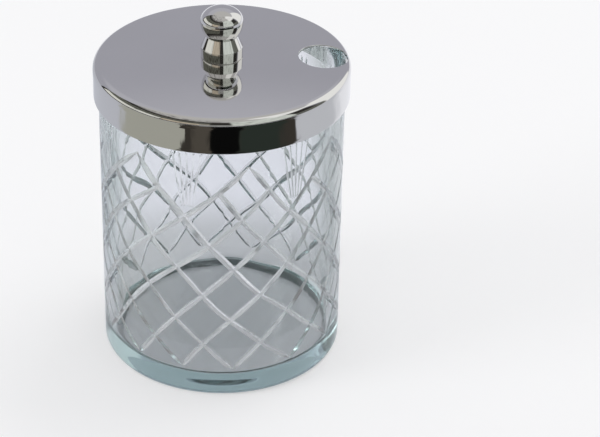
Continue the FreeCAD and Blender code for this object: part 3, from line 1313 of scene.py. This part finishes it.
@dataclass
class Studio:
    """The pale floor, the soft light, the surroundings and the camera.

    Attributes:
        sizes: sizes of the object.
        panels: patches of the surroundings, each drawn over those before it.
        shade_ground: tone of the sheet round the object between its bands.
        shade_bands: its bands, each drawn over those before it.
        lamps: the key high at the back right and the fill low at the left.
    """

    sizes: FrameSizes
    panels: Sequence[Panel] = (
        Panel((100, 260), (-5, 58), (0.42, 0.42, 0.475), 16),
        Panel((100, 260), (38, 58), (0.52, 0.52, 0.575), 9),
        Panel((-180, 180), (62, 90), (0.56, 0.55, 0.535), 14),
        Panel((-140, -13), (25, 42), (0.15, 0.155, 0.13), 2),
        Panel((-120, -56), (6, 23.2), (0.82, 0.82, 0.76), 1.3),
        Panel((-54, -13), (6, 23.2), (0.56, 0.49, 0.39), 1.3),
        Panel((-20, 16), (1, 18), (0.34, 0.34, 0.33), 2),
        Panel((66, 98), (1, 18), (0.15, 0.155, 0.135), 2),
        Panel((9, 62), (6, 56), (0.72, 0.76, 0.71), 4),
        Panel((60, 100), (50, 74), (1.0, 1.0, 0.98), 8),
        Panel((98, 138), (0, 50), (1.0, 1.0, 0.98), 4),
    )
    shade_ground: tuple[float, float, float] = (0.56, 0.575, 0.635)
    shade_bands: Sequence[ShadeBand] = (
        ShadeBand(-88, -30, 10, (0.42, 0.42, 0.37)),
        ShadeBand(-34, 64, 2, (0.045, 0.040, 0.034)),
        ShadeBand(-8, 12, 5, (0.004, 0.004, 0.004)),
        ShadeBand(18, 46, 8, (0.028, 0.036, 0.030)),
        ShadeBand(-22, -13, 5, (0.085, 0.075, 0.062)),
        ShadeBand(64, 110, 6, (0.60, 0.615, 0.66)),
        ShadeBand(122, 190, 22, (0.93, 0.94, 0.99)),
    )
    lamps: Sequence[Lamp] = (
        Lamp("key", azimuth=125, elevation=58, size=0.7, watts=2.4),
        Lamp("fill", azimuth=-72, elevation=24, size=0.5, watts=3.4),
    )

    def build(self) -> None:
        """Set up everything round the object."""
        self.floor()
        self.front_shade()
        self.world()
        for lamp in self.lamps:
            lamp.hang()
        self.camera()
        self.film()

    def floor(self) -> None:
        """A pale floor just under the object.

        Looked at directly it is even. Seen through the glass it carries painted shade and
        painted light: a painted shadow round the object, darker painted shade at its sides, a
        painted contact shadow under the base's edge and a painted pool of light under the
        base. To the metal and to the light it is pale felt.
        """
        bpy.ops.mesh.primitive_plane_add(size=8.0, location=(0, 0, -0.02 * MM))
        floor = bpy.context.object
        floor.name = "floor"
        material, pen = new_material("floor_pale")
        felt = pen.node("ShaderNodeBsdfDiffuse", Color=(0.88, 0.88, 0.93)).outputs[0]
        pale = pen.node("ShaderNodeBsdfDiffuse", Color=(0.95, 0.95, 0.955)).outputs[0]
        glow = pen.node("ShaderNodeEmission", Color=(0.985, 0.985, 0.99), Strength=1.0).outputs[0]
        from_camera, _, through = pen.rays()
        # Rays that came through the glass see the floor with painted shade and painted light.
        surface = pen.either(through, felt, self.painted_floor_through_glass(pen))
        surface = pen.either(from_camera, surface, pen.either(0.45, pale, glow))
        pen.node("ShaderNodeOutputMaterial", Surface=surface)
        floor.data.materials.append(material)

    def painted_floor_through_glass(self, pen: NodePen) -> bpy.types.NodeSocket:
        """The floor as the glass shows it: painted shade round the object, and a bright painted pool
        of light under the base.

        Args:
            pen: pen for the floor's tree.

        Returns:
            The shader.
        """
        place, x, _, _ = pen.place()
        away = pen.node("ShaderNodeVectorMath", {"operation": "LENGTH"}, in0=place).outputs["Value"]
        radius, end = self.sizes.jar_radius, 1.0
        # Painted shadow: near the object the floor is darker than the felt further out.
        tone: object = (0.59, 0.60, 0.63)
        for where, low, high, soft, color in (
                (away, 2.5 * radius, end, 1.0 * radius, (0.86, 0.86, 0.93)),
                # Painted shade: darker bands at the right and the left side.
                (x, 1.9 * radius, end, 0.9 * radius, (0.48, 0.51, 0.515)),
                (x, -end, -2.2 * radius, 1.1 * radius, (0.54, 0.58, 0.585)),
                # Painted light: a brighter disc under the base.
                (away, -end, 0.86 * radius, 0.05 * radius, (0.95, 0.95, 1.0)),
                # Painted contact shadow: a dark ring under the base's edge.
                (away, 0.90 * radius, 1.0 * radius, 0.03 * radius, (0.16, 0.20, 0.20))):
            tone = pen.blend(pen.band(where, low, high, soft), tone, color)
        lit = pen.node("ShaderNodeBsdfDiffuse", Color=tone).outputs[0]
        # Painted pool of light: a glow under the base that is no lamp.
        pool = pen.node("ShaderNodeEmission", Color=(0.70, 0.71, 0.745), Strength=1.0).outputs[0]
        pool_share = 0.28
        under = pen.product(pen.band(away, -end, 0.80 * radius, 0.10 * radius), pool_share)
        return pen.either(under, lit, pool)

    def front_shade(self) -> None:
        """A glowing sheet on the floor round the object, seen only as a mirror image in the metal,
        where it paints the reflections in the lid's skirt.

        Its tone changes with the azimuth, in bands whose borders waver.
        """
        turns = np.radians(np.linspace(-180, 180, 91))
        near, far, lift = 60 * MM, 1.6, 1 * MM
        rim = [(r * math.sin(t), -r * math.cos(t), lift) for r in (near, far) for t in turns]
        count = len(turns)
        faces = [(i, i + 1, count + i + 1, count + i) for i in range(count - 1)]
        mesh = bpy.data.meshes.new("front_shade")
        mesh.from_pydata(rim, [], faces)
        shade = bpy.data.objects.new("front_shade", mesh)
        bpy.context.scene.collection.objects.link(shade)
        material, pen = new_material("shade_dark")
        place, x, y, _ = pen.place()
        _, azimuth = pen.heading(x, y)
        waver_degrees = 26.0
        blur = pen.math("SUBTRACT", pen.noise(place, 28.0, detail=3.0, roughness=0.6), 0.5)
        wavy = pen.math("ADD", azimuth, pen.product(blur, waver_degrees))
        color: object = self.shade_ground
        for band in self.shade_bands:
            color = pen.blend(pen.band(wavy, band.low, band.high, band.soft), color, band.color)
        # The sheet glows though it is no lamp: a painted reflection, with dark painted bands in front
        # of the object.
        glow = pen.node("ShaderNodeEmission", Color=color, Strength=1.0)
        pen.node("ShaderNodeOutputMaterial", Surface=glow.outputs[0])
        mesh.materials.append(material)
        for ray in ("camera", "diffuse", "transmission", "shadow", "volume_scatter"):
            setattr(shade, f"visible_{ray}", False)

    def sky(self, pen: NodePen, ground: tuple[float, float, float],
            strength: float) -> bpy.types.NodeSocket:
        """Draw the panels on an even ground, with gaps in front and dark painted blots at the left.

        Args:
            pen: pen for the world's tree.
            ground: colour between the panels.
            strength: share by which the panels show.

        Returns:
            The colour for each direction.
        """
        direction, x, y, z = pen.place("Generated")
        azimuth, full = pen.heading(x, y)
        elevation = pen.math("DEGREES", pen.math("ARCSINE", z))
        gap_share, blot_share = 0.55, 0.75
        front = pen.band(azimuth, -75.0, 80.0, 20.0)
        in_gap = pen.math("SUBTRACT", 1.0, pen.product(front, gap_share))
        patchy = pen.noise(direction, 7.0, detail=4.0, roughness=0.65)
        clutter = pen.ramp(patchy, (0.30, 0.52), (in_gap, 1.0))
        color: object = ground
        for panel in self.panels:
            mask = pen.band(elevation, *panel.elevation, panel.soft)
            if not panel.all_round:
                mask = pen.product(pen.band(full, *panel.azimuth, panel.soft), mask)
            color = pen.blend(pen.product(mask, clutter, strength), color, panel.color)
        # Dark painted blots in the reflections, at the left.
        dark_blots = pen.ramp(pen.noise(direction, 11.0, detail=3.0, roughness=0.7),
                          (0.53, 0.58), (0.0, blot_share * strength))
        mask = pen.product(dark_blots, pen.band(azimuth, -120.0, -8.0, 12.0),
                           pen.band(elevation, 26.0, 66.0, 8.0))
        return pen.blend(mask, color, (0.035, 0.028, 0.022))

    def world(self) -> None:
        """Plain light for matt things, and the panels for metal and glass.

        The metal mirrors them on a dark ground, as painted reflections. The glass shows them
        fainter, on a paler ground that is still far darker than the backdrop: painted shade in
        the glass. The camera sees an even backdrop.
        """
        world = bpy.data.worlds.new("studio")
        bpy.context.scene.world = world
        world.use_nodes = True
        pen = NodePen(world.node_tree)
        from_camera, mirrored, through = pen.rays()
        mixed = pen.node("ShaderNodeBackground", Color=(0.98, 0.98, 1.0),
                         Strength=0.66).outputs[0]
        for share, color in (
                (mirrored, self.sky(pen, ground=(0.035, 0.033, 0.030), strength=1.0)),
                (through, self.sky(pen, ground=(0.20, 0.215, 0.235), strength=0.6)),
                (from_camera, (0.97, 0.97, 0.975))):
            shown = pen.node("ShaderNodeBackground", Color=color, Strength=1.0).outputs[0]
            mixed = pen.either(share, mixed, shown)
        pen.node("ShaderNodeOutputWorld", Surface=mixed)

    def camera(self) -> None:
        """A long lens above the jar, with the jar in the left half of the picture."""
        turn, pitch = math.radians(-1.7), math.radians(31.5)
        aside, back, over_lip = -0.6 * MM, 578.7 * MM, 300.3 * MM
        camera = bpy.data.cameras.new("camera")
        camera.sensor_width = 36.0
        camera.lens = 132.9
        camera.shift_x = 0.1337
        camera.clip_start, camera.clip_end = 0.01, 20.0
        holder = bpy.data.objects.new("camera", camera)
        standing = Vector((aside, -back, self.sizes.jar_height + over_lip))
        holder.location = Matrix.Rotation(turn, 3, "Z") @ standing
        holder.rotation_euler = (math.pi / 2 - pitch, 0.0, turn)
        bpy.context.scene.collection.objects.link(holder)
        bpy.context.scene.camera = holder

    def film(self) -> None:
        """Plain colours, and enough bounces for light to get through the glass."""
        scene = bpy.context.scene
        scene.view_settings.view_transform = "Standard"
        scene.cycles.max_bounces = 24
        scene.cycles.transmission_bounces = 24
        scene.cycles.glossy_bounces = 12
        scene.cycles.transparent_max_bounces = 16


def main() -> None:
    """Load the frame, build and dress the three pieces, and set the studio."""
    logging.basicConfig(level=logging.INFO, format="%(name)s %(message)s")
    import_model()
    sizes = FrameSizes.from_frame()
    GlassJar(sizes.jar_radius, sizes.jar_height).dress()
    Lid(sizes.lid_radius, sizes.lid_foot, sizes.lid_crown).dress()
    Knob(sizes.knob_foot, sizes.knob_top, sizes.knob_radius).dress()
    Studio(sizes).build()


if __name__ == "__main__":
    main()
